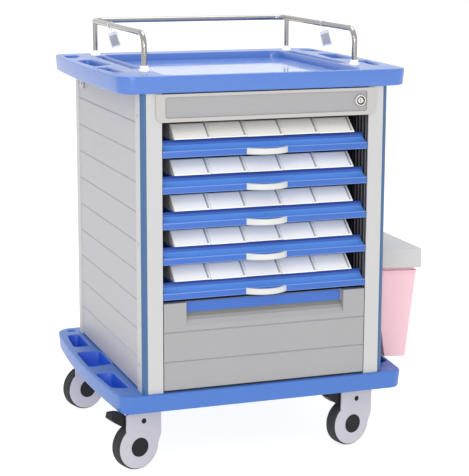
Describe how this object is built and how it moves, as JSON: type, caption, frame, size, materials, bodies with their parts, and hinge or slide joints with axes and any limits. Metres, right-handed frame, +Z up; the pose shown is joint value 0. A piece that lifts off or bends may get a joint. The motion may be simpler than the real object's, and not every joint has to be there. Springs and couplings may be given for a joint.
{
  "type": "medication trolley",
  "caption": "Square medication trolley on swivel castors, with pull-out trays of labelled boxes, a deep drawer, a railed top tray, a keyed lock and a lidded side bin.",
  "frame": {"origin": "on the floor under the middle of the whole outline, side bin and brake pedals included", "axes": "+Z up, front (tray handles and lock) towards -Y, +X to the right seen from the front"},
  "size_m": [0.725, 0.593, 0.9067],
  "materials": {
    "blue_abs": "satin ABS",
    "white_plastic": "satin",
    "box_plastic": "smooth",
    "post_aluminium": "powder coat",
    "panel_lavender": "powder coat",
    "fascia_grey": "fine grain",
    "drawer_grey": "fine grain",
    "liner_dark": "matt",
    "clear_mat": "glossy clear vinyl",
    "chrome": "polished",
    "zinc_steel": "zinc plated",
    "bin_pink": "smooth",
    "clear_pouch": "clear vinyl",
    "castor_grey": "smooth nylon",
    "hub_dark": "satin",
    "tyre_rubber": "matt rubber"
  },
  "bodies": {
    "cabinet": {"base_moulding": "blue_abs", "floor_panel": "white_plastic", "front_post_left": "post_aluminium", "front_post_right": "post_aluminium", "rear_posts": "post_aluminium", "corner_strips": "blue_abs", "side_panel_left": "panel_lavender", "side_panel_right": "panel_lavender", "back_panel": "panel_lavender", "lock_fascia": "fascia_grey", "liner_left": "liner_dark", "liner_right": "liner_dark", "top_tray": "blue_abs", "tray_mat": "clear_mat", "guard_rail": "chrome", "rail_flanges": "white_plastic", "lock_barrel": "chrome", "drawer_rails": "zinc_steel", "bin_bracket": "zinc_steel", "castor_sockets": "zinc_steel", "panel_screws": "zinc_steel"},
    "tray_1": {"tray_1_shell": "blue_abs", "tray_1_handle": "white_plastic", "tray_1_boxes": "box_plastic"},
    "tray_2": {"tray_2_shell": "blue_abs", "tray_2_handle": "white_plastic", "tray_2_boxes": "box_plastic"},
    "tray_3": {"tray_3_shell": "blue_abs", "tray_3_handle": "white_plastic", "tray_3_boxes": "box_plastic"},
    "tray_4": {"tray_4_shell": "blue_abs", "tray_4_handle": "white_plastic", "tray_4_boxes": "box_plastic"},
    "tray_5": {"tray_5_shell": "blue_abs", "tray_5_handle": "white_plastic", "tray_5_boxes": "box_plastic"},
    "drawer": {"drawer_front": "drawer_grey", "drawer_box": "white_plastic", "drawer_runners": "zinc_steel", "drawer_grip_band": "blue_abs"},
    "lock_plug": {"lock_plug": "chrome"},
    "lock_bar": {"lock_bar": "zinc_steel"},
    "bin": {"bin_body": "bin_pink"},
    "bin_lid": {"bin_lid": "fascia_grey"},
    "tag_left": {"tag_left": "clear_pouch"},
    "tag_right": {"tag_right": "clear_pouch"},
    "castor_fl": {"castor_fl_housing": "castor_grey"},
    "wheel_fl": {"castor_fl_wheel": "hub_dark", "castor_fl_tyre": "tyre_rubber"},
    "pedal_fl": {"castor_fl_pedal": "hub_dark"},
    "castor_fr": {"castor_fr_housing": "castor_grey"},
    "wheel_fr": {"castor_fr_wheel": "hub_dark", "castor_fr_tyre": "tyre_rubber"},
    "pedal_fr": {"castor_fr_pedal": "hub_dark"},
    "castor_bl": {"castor_bl_housing": "castor_grey"},
    "wheel_bl": {"castor_bl_wheel": "hub_dark", "castor_bl_tyre": "tyre_rubber"},
    "castor_br": {"castor_br_housing": "castor_grey"},
    "wheel_br": {"castor_br_wheel": "hub_dark", "castor_br_tyre": "tyre_rubber"}
  },
  "joints": [
    {"name": "tray_1_slide", "type": "slide", "parent": "cabinet", "child": "tray_1", "axis": [0, -1, 0], "range_m": [0, 0.33]},
    {"name": "tray_2_slide", "type": "slide", "parent": "cabinet", "child": "tray_2", "axis": [0, -1, 0], "range_m": [0, 0.33]},
    {"name": "tray_3_slide", "type": "slide", "parent": "cabinet", "child": "tray_3", "axis": [0, -1, 0], "range_m": [0, 0.33]},
    {"name": "tray_4_slide", "type": "slide", "parent": "cabinet", "child": "tray_4", "axis": [0, -1, 0], "range_m": [0, 0.33]},
    {"name": "tray_5_slide", "type": "slide", "parent": "cabinet", "child": "tray_5", "axis": [0, -1, 0], "range_m": [0, 0.33]},
    {"name": "drawer_slide", "type": "slide", "parent": "cabinet", "child": "drawer", "axis": [0, -1, 0], "range_m": [0, 0.36]},
    {"name": "lock_turn", "type": "hinge", "parent": "cabinet", "child": "lock_plug", "pos_m": [0.17746, -0.2765, 0.7595], "axis": [0, 1, 0], "range_deg": [0, 90]},
    {"name": "lock_bar_slide", "type": "slide", "parent": "cabinet", "child": "lock_bar", "axis": [0, 0, -1], "range_m": [0, 0.012]},
    {"name": "bin_lift", "type": "slide", "parent": "cabinet", "child": "bin", "axis": [0, 0, 1], "range_m": [0, 0.15]},
    {"name": "bin_lid_hinge", "type": "hinge", "parent": "bin", "child": "bin_lid", "pos_m": [0.25346, -0.0905, 0.4165], "axis": [0, -1, 0], "range_deg": [0, 90]},
    {"name": "tag_left_swing", "type": "hinge", "parent": "cabinet", "child": "tag_left", "pos_m": [-0.25704, 0.0755, 0.899], "axis": [0, 1, 0], "range_deg": [-60, 60]},
    {"name": "tag_right_swing", "type": "hinge", "parent": "cabinet", "child": "tag_right", "pos_m": [0.20596, -0.0075, 0.899], "axis": [0, 1, 0], "range_deg": [-60, 60]},
    {"name": "castor_fl_swivel", "type": "hinge", "parent": "cabinet", "child": "castor_fl", "pos_m": [-0.26604, -0.2195, 0.12], "axis": [0, 0, 1], "continuous": true},
    {"name": "wheel_fl_spin", "type": "hinge", "parent": "castor_fl", "child": "wheel_fl", "pos_m": [-0.2968, -0.22832, 0.05], "axis": [-0.2756, 0.9613, 0], "continuous": true},
    {"name": "brake_fl_pedal", "type": "hinge", "parent": "castor_fl", "child": "pedal_fl", "pos_m": [-0.28623, -0.22529, 0.1045], "axis": [0.2756, -0.9613, 0], "range_deg": [0, 8]},
    {"name": "castor_fr_swivel", "type": "hinge", "parent": "cabinet", "child": "castor_fr", "pos_m": [0.21496, -0.2195, 0.12], "axis": [0, 0, 1], "continuous": true},
    {"name": "wheel_fr_spin", "type": "hinge", "parent": "castor_fr", "child": "wheel_fr", "pos_m": [0.1842, -0.22832, 0.05], "axis": [-0.2756, 0.9613, 0], "continuous": true},
    {"name": "brake_fr_pedal", "type": "hinge", "parent": "castor_fr", "child": "pedal_fr", "pos_m": [0.19477, -0.22529, 0.1045], "axis": [0.2756, -0.9613, 0], "range_deg": [0, 8]},
    {"name": "castor_bl_swivel", "type": "hinge", "parent": "cabinet", "child": "castor_bl", "pos_m": [-0.26604, 0.2165, 0.12], "axis": [0, 0, 1], "continuous": true},
    {"name": "wheel_bl_spin", "type": "hinge", "parent": "castor_bl", "child": "wheel_bl", "pos_m": [-0.2968, 0.20768, 0.05], "axis": [-0.2756, 0.9613, 0], "continuous": true},
    {"name": "castor_br_swivel", "type": "hinge", "parent": "cabinet", "child": "castor_br", "pos_m": [0.21496, 0.2165, 0.12], "axis": [0, 0, 1], "continuous": true},
    {"name": "wheel_br_spin", "type": "hinge", "parent": "castor_br", "child": "wheel_br", "pos_m": [0.1842, 0.20768, 0.05], "axis": [-0.2756, 0.9613, 0], "continuous": true}
  ],
  "couplings": [
    {"joint": "lock_turn", "follows": "lock_bar_slide", "rad_per_m": 130.9}
  ]
}
